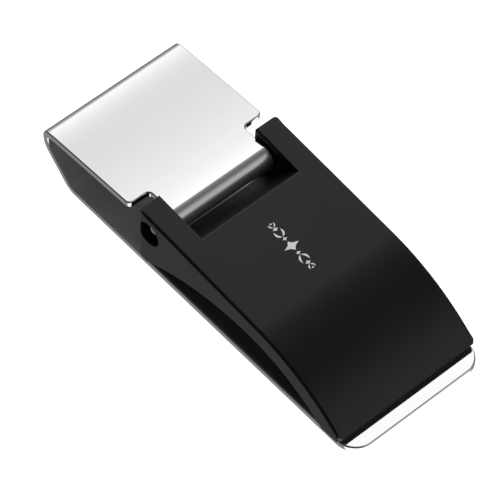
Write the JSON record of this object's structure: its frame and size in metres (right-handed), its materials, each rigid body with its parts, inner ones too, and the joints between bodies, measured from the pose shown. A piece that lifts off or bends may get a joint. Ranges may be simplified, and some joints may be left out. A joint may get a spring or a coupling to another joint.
{
  "type": "money clip",
  "caption": "Hinged money clip: a folded strip of polished spring steel with a black arched lever, pinned across its rolled end, that clamps notes against the back plate.",
  "frame": {"origin": "middle of the resting face, under the back plate", "axes": "+X from the fold to the free tip, +Y across the strip, +Z from the back plate up to the lever"},
  "size_m": [0.058, 0.0226, 0.0103],
  "materials": {
    "polished_steel": "mirror-polished stainless spring steel with faint scratches",
    "black_lever": "fine-grained satin black coating with an engraved ornament",
    "rivet_steel": "polished domed heads"
  },
  "bodies": {
    "clip": {"spring_strip": "polished_steel"},
    "lever": {"clamp_lever": "black_lever", "hinge_rivet": "rivet_steel"}
  },
  "joints": [
    {"name": "lever_hinge", "type": "hinge", "parent": "clip", "child": "lever", "pos_m": [-0.00845, 0, 0.0072], "axis": [0, -1, 0], "range_deg": [0, 115]}
  ]
}
